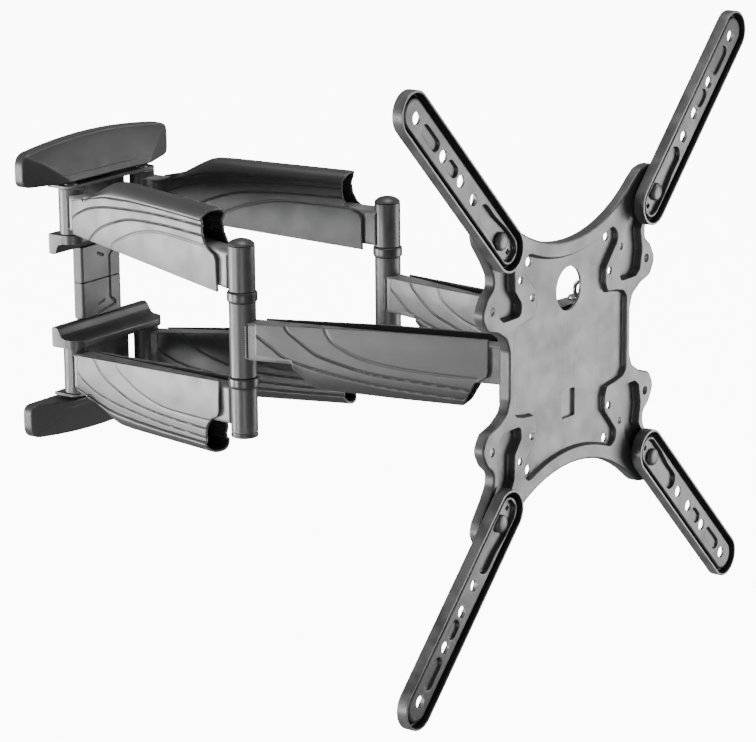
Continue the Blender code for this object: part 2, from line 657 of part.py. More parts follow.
def pivot_hardware(label, sx, sz):
    """Bolt that clamps an extension arm to the plate, and the spacer between them."""
    x, z = sx * ARM_PIVOT, PLATE_Z + sz * ARM_PIVOT
    top = RECESS_FRONT + GAP
    bolt = [(0, top + 3.0), (6.2, top + 3.0), (7.2, top + 2.2), (7.2, top), (4.0, top),
            (4.0, -SEAT_DEPTH - SHEET - 4), (0, -SEAT_DEPTH - SHEET - 4)]
    turned(bolt, f"{label}_pivot_bolt", HARDWARE, facing_tv(x, LOBE_Y, z), 14)
    high, low = RECESS_FRONT - SHEET - GAP, -SEAT_DEPTH + GAP
    spacer = [(4.3, high), (6.2, high), (6.2, low), (4.3, low)]
    turned(spacer, f"{label}_pivot_spacer", HARDWARE, facing_tv(x, LOBE_Y, z), 10, ring=True)


def build_wall_side():
    wall_plate()
    for sz, end in ((1, "upper"), (-1, "lower")):
        hinge_bracket(f"{end}_hinge_bracket", sz)
        for sx, side_name in ((-1, "left"), (1, "right")):
            wall_bolt(f"{end}_{side_name}_wall_bolt", sx, sz)
            hinge_pin(f"{end}_{side_name}_hinge_pin", sx, sz)
    end_cover("top_end_cover", 1)
    end_cover("bottom_end_cover", -1)
    column_cover("upper_column_cover", GAP / 2, 27.0)
    column_cover("lower_column_cover", -27.0, -GAP / 2)


def build_tv_side():
    head_yoke()
    tilt_bracket()
    tilt_fasteners()
    tv_plate()
    for sz, level in ((1, "upper"), (-1, "lower")):
        for sx, side_name in ((-1, "left"), (1, "right")):
            extension_arm(f"{level}_{side_name}_extension_arm", sx, sz)
            pivot_hardware(f"{level}_{side_name}", sx, sz)


build_wall_side()
for side_name, side in (("left", -1), ("right", 1)):
    rear_arm(side_name, side)
    forearm(side_name, side)
    head_pin(f"{side_name}_head_pin", side)
build_tv_side()
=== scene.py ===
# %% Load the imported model
import json

import bmesh
import bpy
import numpy as np
from mathutils import Matrix, Vector, geometry


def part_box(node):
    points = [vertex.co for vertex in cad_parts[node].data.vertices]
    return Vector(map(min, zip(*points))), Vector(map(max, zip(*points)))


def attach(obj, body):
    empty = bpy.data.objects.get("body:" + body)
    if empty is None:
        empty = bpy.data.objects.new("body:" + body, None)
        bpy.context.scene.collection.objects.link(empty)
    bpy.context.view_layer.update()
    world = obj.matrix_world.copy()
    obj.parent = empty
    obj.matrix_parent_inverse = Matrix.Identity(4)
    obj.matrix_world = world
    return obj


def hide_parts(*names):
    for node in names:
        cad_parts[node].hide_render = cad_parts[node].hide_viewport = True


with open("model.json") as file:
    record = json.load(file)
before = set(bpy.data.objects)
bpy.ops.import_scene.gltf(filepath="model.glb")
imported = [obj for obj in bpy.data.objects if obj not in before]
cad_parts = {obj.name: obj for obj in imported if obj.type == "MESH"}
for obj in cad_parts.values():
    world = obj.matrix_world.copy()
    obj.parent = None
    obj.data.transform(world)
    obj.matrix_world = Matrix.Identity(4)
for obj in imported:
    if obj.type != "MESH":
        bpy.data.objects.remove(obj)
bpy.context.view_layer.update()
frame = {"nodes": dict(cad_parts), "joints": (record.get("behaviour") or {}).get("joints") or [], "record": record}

pivot = {joint["name"]: np.array(joint["pos_m"]) * 1000 for joint in frame["joints"] if "pos_m" in joint}
print("nodes:", len(frame["nodes"]), "joints:", len(pivot))

# %% [markdown]
# # A full motion TV wall mount
# The mount is a folding bracket. A steel plate on the wall carries two pairs of arms, each pair ends in one forearm,
# and the forearms meet at a head that tilts an X-shaped screen plate. The solids in the frame already have the right
# places, sizes and joints. What follows gives each visible piece its real surface: pressed steel with soft steps,
# moulded covers with their flowing grooves, turned pins and caps, and a finish for each.
#
# ## Lines and loops
# Nearly every piece here starts as a line drawn on a flat sheet, just as a press tool or a mould does. Three helpers
# do the drafting: one rounds the corners of a polygon, one spaces points evenly, and one finds the outward direction
# at each point, so that a loop can grow or shrink. Curves with handles could do this too, but arrays let the same
# loop be reused for both faces of a sheet.

# %% Drafting helpers
def unit(v):
    """Each vector divided by its own length."""
    return v / np.maximum(np.linalg.norm(v, axis=-1, keepdims=True), 1e-12)


def evenly(points, spacing, closed=True):
    """The same line with points at equal steps of its running length."""
    line = np.vstack([points, points[:1]]) if closed else np.asarray(points, float)
    run = np.concatenate([[0.0], np.cumsum(np.linalg.norm(np.diff(line, axis=0), axis=1))])
    count = max(8, int(round(run[-1] / spacing)))
    at = np.linspace(0, run[-1], count, endpoint=not closed)
    return np.stack([np.interp(at, run, axis) for axis in line.T], 1)


def rounded(corners, radius, spacing=1.0):
    """A closed loop through rounded corners. Round a corner C the line follows (1-t)^2 A + 2t(1-t) C + t^2 B, where A
    and B lie on its two sides at radius / tan(half the corner's angle) from it."""
    c = np.asarray(corners, float)
    back, ahead = np.roll(c, 1, 0) - c, np.roll(c, -1, 0) - c
    half = np.arccos(np.clip((unit(back) * unit(ahead)).sum(1), -1, 1)) / 2
    shortest = np.minimum(np.linalg.norm(back, axis=1), np.linalg.norm(ahead, axis=1))
    run = np.minimum(np.asarray(radius) / np.tan(half), 0.48 * shortest)[:, None]
    a, b = (c + unit(back) * run)[:, None], (c + unit(ahead) * run)[:, None]
    t = np.linspace(0, 1, 12)[None, :, None]
    curve = (1 - t) ** 2 * a + 2 * t * (1 - t) * c[:, None] + t**2 * b
    return evenly(curve.reshape(-1, 2), spacing)


def outward(loop):
    """Unit normals of a closed loop: the chord between a point's neighbours, turned a quarter turn to the outside."""
    chord = np.roll(loop, -1, 0) - np.roll(loop, 1, 0)
    area = (loop[:, 0] * np.roll(loop[:, 1], -1) - loop[:, 1] * np.roll(loop[:, 0], -1)).sum()
    return unit(np.stack([chord[:, 1], -chord[:, 0]], 1)) * np.sign(area)


def ring(x, y, radius, spacing=0.9):
    """A circle: x + r cos(a), y + r sin(a)."""
    a = np.linspace(0, 2 * np.pi, max(20, int(2 * np.pi * radius / spacing)), endpoint=False)
    return np.stack([x + radius * np.cos(a), y + radius * np.sin(a)], 1)


def smooth_line(points, count=90):
    """A curve through a few points: each axis is a cubic Hermite curve whose slope at a point is the chord of its
    neighbours."""
    p = np.asarray(points, float)
    slope = np.gradient(p, axis=0)
    at = np.linspace(0, len(p) - 1, count)
    i = np.minimum(at.astype(int), len(p) - 2)
    t = (at - i)[:, None]
    h = (2 * t**3 - 3 * t**2 + 1) * p[i] + (t**3 - 2 * t**2 + t) * slope[i]
    return h + (3 * t**2 - 2 * t**3) * p[i + 1] + (t**3 - t**2) * slope[i + 1]


def soft_step(start, end, count=7):
    """An S-shaped profile between two (offset, depth) points: offset follows t and depth the smooth step 3t^2 - 2t^3,
    as a sheet does when a tool presses it."""
    t = np.linspace(0, 1, count)[:, None]
    ease = np.concatenate([t, t * t * (3 - 2 * t)], 1)
    return np.array(start) + (np.array(end) - np.array(start)) * ease


print("a 20 x 10 mm loop with 3 mm corners has", len(rounded([(0, 0), (20, 0), (20, 10), (0, 10)], 3)), "points")

# %% [markdown]
# ## Surfaces
# A surface is a grid of points: a profile that is carried along a loop, or a sheet whose height is worked out for
# each (u, v). The faces between grid points are plain index arithmetic, so they come from arrays as well. Flat areas
# with holes in them are the one exception: there a Delaunay triangulation fills the space between loops. All patches
# of a piece share their edge points, so merging doubles closes the skin.

# %% Surface helpers
def grid_faces(rows, columns, wrap_rows=False, wrap_columns=False):
    """Quads between neighbouring points of a grid that is stored row by row."""
    r = np.arange(rows if wrap_rows else rows - 1)[:, None]
    c = np.arange(columns if wrap_columns else columns - 1)[None]
    r1, c1 = (r + 1) % rows, (c + 1) % columns
    corners = (r * columns + c, r * columns + c1, r1 * columns + c1, r1 * columns + c)
    return np.stack(corners, -1).reshape(-1, 4)


def inside(points, loop):
    """Even-odd test, for all points at once: how often a line to the right of each crosses the loop."""
    (ax, ay), (bx, by) = loop.T, np.roll(loop, -1, 0).T
    x, y = points[:, :1], points[:, 1:]
    rise = np.where(by == ay, 1e-12, by - ay)
    crosses = ((ay > y) != (by > y)) & (x < ax + (bx - ax) * (y - ay) / rise)
    return crosses.sum(1) % 2 == 1


GUARD = 0.9


def in_any(points, loops):
    """Which points lie inside at least one of the loops."""
    return np.any([inside(points, loop) for loop in loops] or [np.zeros(len(points), bool)], axis=0)


class Skin:
    """The patches of one piece, in millimetres. Flat patches are drawn in x, y and depth, then laid in the room."""

    def __init__(self, origin=(0, 0, 0), right=(1, 0, 0), up=(0, 1, 0)):
        self.origin = np.array(origin, float)
        self.right, self.up = unit(np.array(right, float)), unit(np.array(up, float))
        self.points, self.faces, self.count = [], [], 0

    def patch(self, points, faces):
        """Adds points that are (x, y, depth): place = origin + x right + y up + depth (right x up)."""
        points = np.asarray(points, float).reshape(-1, 3)
        out = np.cross(self.right, self.up)
        self.points.append(self.origin + points @ np.stack([self.right, self.up, out]))
        self.faces += (np.asarray(faces) + self.count).tolist()
        self.count += len(points)
        return self

    def band(self, loop, profile, wrap=False):
        """Carries a profile of (offset, depth) along a closed loop: loop + outward normal x offset, at that depth."""
        offset, depth = np.asarray(profile, float).T
        flat = loop[None] + outward(loop)[None] * offset[:, None, None]
        high = np.broadcast_to(depth[:, None, None], (*flat.shape[:2], 1))
        return self.patch(np.concatenate([flat, high], 2), grid_faces(len(offset), len(loop), wrap, True))

    def flat(self, depth, outline, *holes):
        """Fills a flat area: the Delaunay triangles whose centres lie inside the outline and outside every hole. Guard
        points 0.9 mm in from each rim keep the pale edge grey, a painted highlight mixed with worn coat, at the rim,
        away from the large triangles."""
        loops = [outline, *holes]
        first = np.cumsum([0] + [len(loop) for loop in loops])
        edges = [np.stack([np.arange(len(p)), np.roll(np.arange(len(p)), -1)], 1) + f for p, f in zip(loops, first)]
        rims = np.concatenate(loops)
        guard = np.concatenate([outline - outward(outline) * GUARD, *[hole + outward(hole) * GUARD for hole in holes]])
        clear = np.linalg.norm(guard[:, None] - rims[None], axis=-1).min(1) > GUARD * 2 / 3
        clear &= inside(guard, outline) & ~in_any(guard, holes)
        drawn = list(map(Vector, np.concatenate([rims, guard[clear]])))
        found, _, faces, *_ = geometry.delaunay_2d_cdt(drawn, np.concatenate(edges).tolist(), [], 1, 1e-5)
        found, faces = np.array(found), np.array(faces)
        centre = found[faces].mean(1)
        keep = inside(centre, outline) & ~in_any(centre, holes)
        return self.patch(np.column_stack([found, np.full(len(found), depth)]), faces[keep])

    def turned(self, profile, x=0.0, y=0.0, steps=64, wrap=False):
        """Turns a profile of (radius, depth) about the upright line at x, y: (x + r cos a, y + r sin a, depth)."""
        r, depth = np.asarray(profile, float).T[:, :, None]
        a = np.linspace(0, 2 * np.pi, steps, endpoint=False)[None]
        points = np.stack([x + r * np.cos(a), y + r * np.sin(a), depth + 0 * a], -1)
        return self.patch(points, grid_faces(len(r), steps, wrap, True))

    def piece(self, name, body, slot, replaces=(), sharp=38, thickness=0.0, coat=None):
        """Merges the patches into a mesh in metres, turns its faces outwards, and fastens it to its body. A skin with a
        thickness is an open sheet that grows inwards, and every other one is closed and shaded by its larger faces."""
        mesh = bpy.data.meshes.new(name)
        mesh.from_pydata(np.concatenate(self.points) / 1000, [], self.faces)
        bm = bmesh.new()
        bm.from_mesh(mesh)
        bmesh.ops.remove_doubles(bm, verts=bm.verts, dist=1e-5)
        spare = [v for v in bm.verts if not v.link_faces]
        bmesh.ops.delete(bm, geom=spare, context="VERTS")
        bmesh.ops.recalc_face_normals(bm, faces=bm.faces)
        bm.to_mesh(mesh)
        bm.free()
        mesh.shade_smooth()
        mesh.set_sharp_from_angle(angle=np.radians(sharp))
        obj = bpy.data.objects.new(name, mesh)
        bpy.context.scene.collection.objects.link(obj)
        if thickness:
            wall = obj.modifiers.new("wall", "SOLIDIFY")
            wall.thickness = thickness / 1000
            wall.offset = -1
        else:
            shade = obj.modifiers.new("flat areas shade flat", "WEIGHTED_NORMAL")
            shade.keep_sharp = True
        # coat picks a finish in place of the slot's; the trays use it for a darker copy of the steel finish, which is
        # painted shade
        mesh.materials.append(FINISH[coat or slot])
        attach(obj, body)
        if replaces:
            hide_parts(*replaces)
        print(f"{name}: {len(mesh.vertices)} points")
        return obj


# %% [markdown]
# ## Finishes
# The steel has a dark graphite powder coat. Powder melts into a skin that is satin and very slightly pebbled, a few
# tenths of a millimetre from bump to bump. The covers are moulded plastic of nearly the same colour with a finer,
# flatter grain. The fasteners are dark zinc with brushed, uneven sheen, and the elbow rings are smooth nylon. All are
# the same recipe with other numbers: a colour that drifts with a large soft noise, a paler grey painted where the mesh
# turns sharply, a roughness that varies, and a bump from fine noise. The paler edge grey is partly a painted highlight,
# the thin bright line that light catches along edges, and partly the coat worn thin there, so noise breaks it into
# patches. Image textures would need files and UV maps, while noise in object coordinates needs neither and keeps its
# scale on every piece.
#
# The trays of the extension arms are the same powder-coated steel as the plate they bolt to, but they get a darker
# copy of its finish: the darker grey is painted shade, for the shade their rims and channels lie in. So they have a
# finish of their own.

# %% Finish recipe
DRIFT_SCALE, SMUDGE_SCALE = 9.0, 55.0
DARKER, LIGHTER = 0.86, 1.14


def finish(name, colour, edge, rough, rough_drift, grain, bump, metallic=0.0):
    """A node material. colour is the grey of the body. edge is a paler grey painted where the mesh turns sharply:
    partly a painted highlight, partly the coat worn thin there. grain is the bump's wavelength in metres, and the
    roughness runs from rough - rough_drift to rough + rough_drift."""
    mat = bpy.data.materials.new(name)
    mat.use_nodes = True
    tree = mat.node_tree
    shader = tree.nodes["Principled BSDF"]
    shader.inputs["Metallic"].default_value = metallic

    def add(kind, **values):
        node = tree.nodes.new("ShaderNode" + kind)
        for key, value in values.items():
            setattr(node, key, value)
        return node

    def noise(scale, detail, vector):
        node = add("TexNoise")
        node.inputs["Scale"].default_value = scale
        node.inputs["Detail"].default_value = detail
        tree.links.new(vector, node.inputs["Vector"])
        return node.outputs["Fac"]

    def spread(value, low, high, to_low, to_high):
        node = add("MapRange")
        for key, number in (("From Min", low), ("From Max", high), ("To Min", to_low), ("To Max", to_high)):
            node.inputs[key].default_value = number
        tree.links.new(value, node.inputs["Value"])
        return node.outputs["Result"]

    place = add("TexCoord").outputs["Object"]
    drift = noise(DRIFT_SCALE, 3.0, place)
    fine = noise(1 / grain, 3.0, place)
    smudge = noise(SMUDGE_SCALE, 4.0, place)

    body = add("Mix", data_type="RGBA")
    body.inputs["A"].default_value = (*[c * DARKER for c in colour], 1)
    body.inputs["B"].default_value = (*[c * LIGHTER for c in colour], 1)
    tree.links.new(drift, body.inputs["Factor"])
    # Painted highlight: the pale edge grey goes where the mesh turns sharply, and noise breaks it into patches as worn
    # coat is
    edge_highlight_and_wear = add("Mix", data_type="RGBA")
    edge_highlight_and_wear.inputs["B"].default_value = (*edge, 1)
    tree.links.new(body.outputs["Result"], edge_highlight_and_wear.inputs["A"])
    turn = spread(add("NewGeometry").outputs["Pointiness"], 0.53, 0.6, 0.0, 0.8)
    edge_highlight_and_wear_mask = add("Math", operation="MULTIPLY")
    tree.links.new(turn, edge_highlight_and_wear_mask.inputs[0])
    tree.links.new(spread(smudge, 0.35, 0.6, 0.35, 1.0), edge_highlight_and_wear_mask.inputs[1])
    tree.links.new(edge_highlight_and_wear_mask.outputs["Value"], edge_highlight_and_wear.inputs["Factor"])
    tree.links.new(edge_highlight_and_wear.outputs["Result"], shader.inputs["Base Color"])
    sheen = spread(smudge, 0.3, 0.7, rough - rough_drift, rough + rough_drift)
    tree.links.new(sheen, shader.inputs["Roughness"])

    relief = add("Bump")
    relief.inputs["Strength"].default_value = bump
    relief.inputs["Distance"].default_value = grain * 0.25
    tree.links.new(fine, relief.inputs["Height"])
    tree.links.new(relief.outputs["Normal"], shader.inputs["Normal"])
    return mat


def grey(value, blue=0.0):
    """A grey with a little extra in its blue."""
    return (value, value, value + blue)


# The second grey of each finish is the painted edge highlight, mixed with worn coat
FINISH = {
    "black_steel": finish("graphite_powder_coat", grey(0.036, 0.001), grey(0.2), 0.4, 0.06, 0.0007, 0.35),
    "black_plastic": finish("moulded_graphite_plastic", grey(0.034, 0.001), grey(0.13), 0.42, 0.05, 0.0005, 0.25),
    # The tray finish is the steel finish darkened: painted shade
    "tray_painted_shade": finish("deep_black_tray_coat", grey(0.014, 0.0005), grey(0.3), 0.38, 0.06, 0.0007, 0.35),
    "zinc_hardware": finish("dark_zinc", grey(0.34, 0.01), grey(0.6), 0.36, 0.1, 0.0012, 0.3, metallic=1.0),
    "nylon": finish("smooth_nylon", grey(0.028, 0.001), grey(0.1), 0.34, 0.04, 0.0009, 0.12),
}
for label in FINISH:
    print("finish:", label)

# %% [markdown]
# ## The screen plate
# The plate is one sheet of 2 mm steel. A press cuts it to an X, turns its rim back, sinks the middle by 3.5 mm and
# the four arm seats by 5.5 mm, and leaves raised pads round the small holes. Sculpting or displacement would blur
# such steps. Here each step is an S-shaped profile carried along the outline where the level changes, and flat fills
# lie between them. The back face is the same drawing again, 2 mm behind and a little wider.

# %% Screen plate
SHEET, PANEL_DEPTH, SEAT_DEPTH = 2.0, -3.5, -5.5
WIDER_BACK = 0.9
low_corner, high_corner = (np.array(corner) * 1000 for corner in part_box("tv_plate"))
PLATE_Z = round((low_corner[2] + high_corner[2]) / 2, 1)
FRONT_Y = low_corner[1]
FOUR = [(sx, sz) for sx in (-1, 1) for sz in (-1, 1)]


def four_way(quarter):
    """A closed loop from its quarter: the quarter, its mirror in X, and the mirror of both in Z."""
    q = np.asarray(quarter, float)
    half = np.vstack([q, (q * (-1, 1))[::-1]])
    loop = np.vstack([half, (half * (1, -1))[::-1]])
    return loop[np.linalg.norm(loop - np.roll(loop, 1, 0), axis=1) > 1e-6]


def arch(radius, wide, count=9):
    """The hollow edge between two legs, from x = wide to the middle: z = 212 - the square root of radius^2 - x^2."""
    x = np.linspace(wide, 0, count)
    return np.stack([x, 212 - np.sqrt(radius**2 - x**2)], 1)


edge_quarter = [(78.5, 0), (78.5, 17), (82, 26.5), (93, 33), (106, 36.5), (112.5, 48), (106, 59.5), (97.5, 66),
                (98.5, 75), (105, 85), (115, 98), (117.5, 106), (111, 118.5), (100, 119.3), (91, 117.5)]
plate_edge = rounded(four_way(np.vstack([edge_quarter, arch(130, 84)])), 9.0)
panel_quarter = [(73, 0), (73, 27), (69, 31.5), (60, 33.5), (47, 35), (44, 42), (44, 53), (60, 71), (59.5, 77),
                 (54, 81.5)]
panel_edge = rounded(four_way(np.vstack([panel_quarter, arch(141, 44, 6)])), 4.5)
seat = np.array([(73, 76), (72, 58), (64, 48), (65, 40), (86, 40), (91, 44), (93.5, 58), (91, 73), (99, 86), (110, 103),
                 (110, 109), (101, 113.2), (91, 108)], float)
seat_edges = [rounded(seat * corner, 4.5) for corner in FOUR]


def on_corners(x, z, radius):
    """The same round hole in each quarter of the plate."""
    return [ring(sx * x, sz * z, radius, 0.7) for sx, sz in FOUR]


pad_holes = on_corners(100, 50, 3.4) + on_corners(50, 50, 3.0) + on_corners(65, 65, 2.7)
window = rounded(np.array([(-8.5, -10.5), (8.5, -10.5), (8.5, 10.5), (-8.5, 10.5)]) + (1.5, -38), 2.0, 0.8)
panel_holes = [ring(1.5, 46, 16), window, *on_corners(50, 75, 3.6)]
pivot_holes = on_corners(100, 100, 4.4)

plate = Skin((0, FRONT_Y, PLATE_Z), (1, 0, 0), (0, 0, 1))
rim = [(-1.6, 0), (-0.8, -0.12), (-0.25, -0.5), (0, -1.3), (0, -7.5), (-0.3, -8), (-1.7, -8), (-2, -7.5),
       (-2, -3.4), (-2.5, -2.4), (-3.4, -2)]
plate.band(plate_edge, rim)
for back in (0.0, 1.0):
    level = -SHEET * back
    wide = WIDER_BACK * back
    shoulder, foot = 0.9 + wide, -1.1 + wide
    outer = plate_edge + outward(plate_edge) * (-1.6 - 1.8 * back)
    panel_top, panel_foot = (panel_edge + outward(panel_edge) * by for by in (shoulder, foot))
    seat_tops = [edge + outward(edge) * shoulder for edge in seat_edges]
    plate.flat(level, outer, panel_top, *seat_tops, *pad_holes)
    plate.band(panel_edge, soft_step((shoulder, level), (foot, level + PANEL_DEPTH)))
    plate.flat(level + PANEL_DEPTH, panel_foot, *panel_holes)
    for edge, hole in zip(seat_edges, pivot_holes):
        plate.band(edge, soft_step((shoulder, level), (foot, level + SEAT_DEPTH)))
        plate.flat(level + SEAT_DEPTH, edge + outward(edge) * foot, hole)
for depth, holes in ((0, pad_holes), (PANEL_DEPTH, panel_holes), (SEAT_DEPTH, pivot_holes)):
    for hole in holes:
        plate.band(hole, [(0, depth), (0, depth - SHEET)])
plate.piece("pressed_plate", "screen_plate", "black_steel", ["tv_plate"], sharp=50)

# %% [markdown]
# ## The extension arms
# Each arm is a pressed tray: a rim stands up all round towards the screen, and inside it the floor carries four bolt
# holes, two sunk pockets and a sunk keyhole where the pivot bolt sits. It is drawn like the plate, in its own plane
# along the diagonal. A thin channel runs between floor and rim, which is what gives the arm its dark inner outline.
# Depths here are heights above the pivot's plane: the rim ends at 11 mm, the floor lies at 9 mm and its back at 7 mm.

# %% Extension arms
HOLES = np.array([135.0, 150.0, 170.0, 200.0])
REACH = np.sqrt(2)
FLOOR, FLOOR_BACK, KEY_FLOOR, UNDERSIDE = 9.0, 7.0, 6.2, 2.5


def stadium(low, high, half, spacing=1.0):
    """Two half circles joined by straight sides: centre low or high, plus or minus half (cos a, sin a)."""
    a = np.linspace(-np.pi / 2, np.pi / 2, 40)
    end = np.stack([np.cos(a), np.sin(a)], 1) * half
    return evenly(np.vstack([end + (high, 0), -end + (low, 0)]), spacing)


def extension_arm(level, side, sx, sz):
    """The tray and the bolt head of one arm. sx and sz give the diagonal that it lies along."""
    hub = pivot[f"{level}_{side}_arm_pivot"]
    along, across = np.array([sx, 0, sz]) / REACH, np.array([-sz, 0, sx]) / REACH
    arm = Skin(hub, along, across)
    inner, outer = (np.array([93.0, 203.0]) - 100) * REACH
    edge = stadium(inner, outer, 16)
    key = rounded([(inner - 7.6, -5), (inner - 7.6, 5), (inner - 1, 8.3), (4, 8.3), (20, 6.2), (36, 6.2), (40, 0),
                   (36, -6.2), (20, -6.2), (4, -8.3), (inner - 1, -8.3)], 6.0, 0.8)
    bolts = [ring(x, 0, 4.4, 0.7) for x in (HOLES - 100) * REACH]
    pockets = [stadium(x - run, x + run, 3.9, 0.8) for x, run in ((85.0, 2.9), (119.8, 8.0))]
    square = rounded([(-14.6, -2), (-10.8, -2), (-10.8, 2), (-14.6, 2)], 0.4, 0.5)
    pin_hole = ring(0, 0, 4.2, 0.7)
    arm.band(edge, [(-1.9, 10.5), (-1.6, 11.0), (-0.3, 11.0), (0, 10.6), (0, 3.4), (-0.3, 2.8), (-1.2, 2.5)])
    arm.band(edge, [(-1.9, 10.5), (-2.1, 6.0), (-2.5, 4.9), (-3.3, 4.5), (-4.3, 4.9), (-5.0, 6.0), (-5.4, 7.8),
                    (-5.7, 8.7), (-6.4, FLOOR)])
    back = stadium(50.5, outer, 8.0)
    arm.flat(UNDERSIDE, edge + outward(edge) * -1.2, back + outward(back) * 0.8, pin_hole, square)
    arm.band(back, soft_step((0.8, UNDERSIDE), (-0.8, FLOOR_BACK)))
    arm.flat(FLOOR_BACK, back + outward(back) * -0.8, *bolts, *[p + outward(p) * 1.6 for p in pockets])
    arm.flat(FLOOR, edge + outward(edge) * -6.4, *[p + outward(p) * 0.8 for p in (key, *pockets)], *bolts)
    for sunk, level_z in ((key, KEY_FLOOR), *((pocket, 7.2) for pocket in pockets)):
        arm.band(sunk, soft_step((0.8, FLOOR), (-0.9, level_z)))
        arm.flat(level_z, sunk + outward(sunk) * -0.9, *([pin_hole, square] if sunk is key else []))
        if sunk is not key:
            arm.band(sunk, soft_step((1.6, FLOOR_BACK), (0.9, 5.2)))
            arm.flat(5.2, sunk + outward(sunk) * 0.9)
    for top, foot, holes in ((FLOOR, FLOOR_BACK, bolts), (KEY_FLOOR, UNDERSIDE, [pin_hole, square])):
        for hole in holes:
            arm.band(hole, [(0, top), (0, foot)])
    # The tray takes the steel finish darkened as painted shade for its rims and channels
    arm.piece(f"{level}_{side}_tray", f"{level}_{side}_arm", "black_steel", [f"{level}_{side}_extension_arm"],
              sharp=50, coat="tray_painted_shade")

    head = Skin(hub, (1, 0, 0), (0, 0, 1))
    head.turned([(0, 9.6), (3.5, 9.5), (5.4, 9.1), (6.2, 8.4), (6.5, 7.6), (6.5, 6.55), (4.0, 6.5), (4.0, -11.5),
                 (0, -11.5)], steps=48)
    head.piece(f"{level}_{side}_bolt_head", "screen_plate", "black_steel", [f"{level}_{side}_pivot_bolt"])


for sz, level in ((1, "upper"), (-1, "lower")):
    for sx, side in ((-1, "left"), (1, "right")):
        extension_arm(level, side, sx, sz)

# %% [markdown]
# ## The cable covers
# Each arm wears a moulded channel: two cheeks straddle the steel, and a rounded duct joins them and carries the
# cables. Flowing grooves run along both cheeks. The whole skin is one grid: across it the rows climb from one
# cheek's free edge over the duct to the other edge, and along it the columns follow the arm between two shaped ends.
# A groove is a dip by distance: every point close to the groove's line sinks by depth x exp(-(distance / width)^2),
# so it stays round-edged and exact, where cutting it with Booleans would leave ragged edges. The rear arms and the
# forearms share the recipe, and a dictionary each holds their lines: s runs along the arm from its first pivot and z
# is the height.

# %% Cable covers
def distance(points, line):
    """Distance from each point to a line of short straight runs: to the nearest point a + t (b - a), t from 0 to 1."""
    a, run = line[:-1], np.diff(line, axis=0)
    t = np.clip(((points[:, None] - a) * run).sum(-1) / (run**2).sum(-1), 0, 1)
    return np.linalg.norm(points[:, None] - a - t[..., None] * run, axis=-1).min(1)


def read_off(s, line):
    """Height of a drawn line at each s."""
    return np.interp(s, *np.asarray(line, float).T)


COVER_START, CHEEK = 15.0, 10.2


def cover_grid(form):
    """(s, z, half width, a) of half a cover. Rows first climb the cheek, with z from free edge to crease by h and half
    width CHEEK + 0.9 (1 - (2h - 1)^2), where h stops growing at flat_from. Then they climb the duct, with z from crease
    to ridge by sin(a) and half width duct x cos(a)^power, less a narrow valley at its foot."""
    cheek, roof, columns = form["counts"]
    h = np.concatenate([np.linspace(0, 1, cheek), np.ones(roof)])[:, None]
    a = np.concatenate([np.zeros(cheek), np.linspace(0, np.pi / 2, roof)])[:, None]
    end = np.array(form["end"], float)
    edge, crease, ridge = (read_off(end[:, 0].max(), form[key]) for key in ("free", "crease", "ridge"))
    s_end = np.interp(edge + (crease - edge) * h + (ridge - crease) * np.sin(a), end[:, 1], end[:, 0])
    s = COVER_START + (s_end - COVER_START) * np.linspace(0, 1, columns)[None]
    free, crease = read_off(s, form["free"]), read_off(s, form["crease"])
    rise = np.maximum(read_off(s, form["ridge"]) - crease, 0.05)
    z = free + (crease - free) * h + rise * np.sin(a)
    half = CHEEK + 0.9 * (1 - (2 * np.minimum(h, form["flat_from"]) - 1) ** 2)
    duct = form["duct"] * np.maximum(np.cos(a), 0) ** form["power"] - form["valley"] * np.exp(-((a / 0.12) ** 2))
    half = np.where(a + 0 * s > 0, duct, half + 0 * s)
    flat = np.stack([s, z], -1).reshape(-1, 2)
    for line, depth, width in form["grooves"]:
        away = distance(flat, smooth_line(line)).reshape(s.shape)
        half = half - depth * np.exp(-((away / width) ** 2)) * (a < 1.4)
    return s, z, half, a + 0 * s


def cable_cover(node, body, start, end, flip, form):
    """Both halves of a cover, joined at the ridge, with the duct left off where it hasn't begun."""
    cover = Skin((*start, 0), (*(np.array(end) - start), 0), (0, 0, 1))
    s, z, half, a = cover_grid(form)
    both = [np.stack([s, z * flip, half * side], -1) for side in (1, -1)]
    points = np.concatenate([both[0], both[1][::-1][1:]])
    duct = np.concatenate([a, a[::-1][1:]]) > 0.01
    s_all = np.concatenate([s, s[::-1][1:]])
    quads = grid_faces(*s_all.shape)
    missing = (duct & (s_all < form["roof_from"])).reshape(-1)[quads].all(1)
    cover.patch(points.reshape(-1, 3), quads[~missing])
    cover.piece(f"{node}_shell", body, "black_plastic", [node], sharp=45, thickness=1.7)


REAR = {
    "free": [(15, 48), (193, 33.5)],
    "crease": [(15, 74), (34, 78), (56, 82), (91, 84), (128, 84), (193, 82.5)],
    "ridge": [(15, 74.1), (24, 76), (31, 78), (40, 83), (54, 90.5), (61, 93.6), (67, 94.9), (80, 95), (181, 92),
              (193, 91.6)],
    "end": [(193, 33.5), (193, 57), (191, 60.5), (185, 63), (180, 67), (177, 73), (176, 80), (177, 86), (179.5, 91),
            (181, 93)],
    "roof_from": 30.0,
    "counts": (84, 22, 180),
    "flat_from": 1.0,
    "duct": 12.1,
    "power": 0.75,
    "valley": 1.7,
    "grooves": [
        ([(13, 59), (24, 66), (39, 72), (60, 76), (90, 78.5), (118, 80), (150, 80.3), (180, 80)], 0.65, 0.5),
        ([(35, 45), (45, 54), (57, 61), (80, 69), (98, 72), (135, 73.5), (186, 73)], 0.65, 0.5),
        ([(64, 44), (68, 49), (77, 54), (97, 62), (123, 67), (155, 67), (190, 65.5)], 0.35, 0.8),
    ],
}
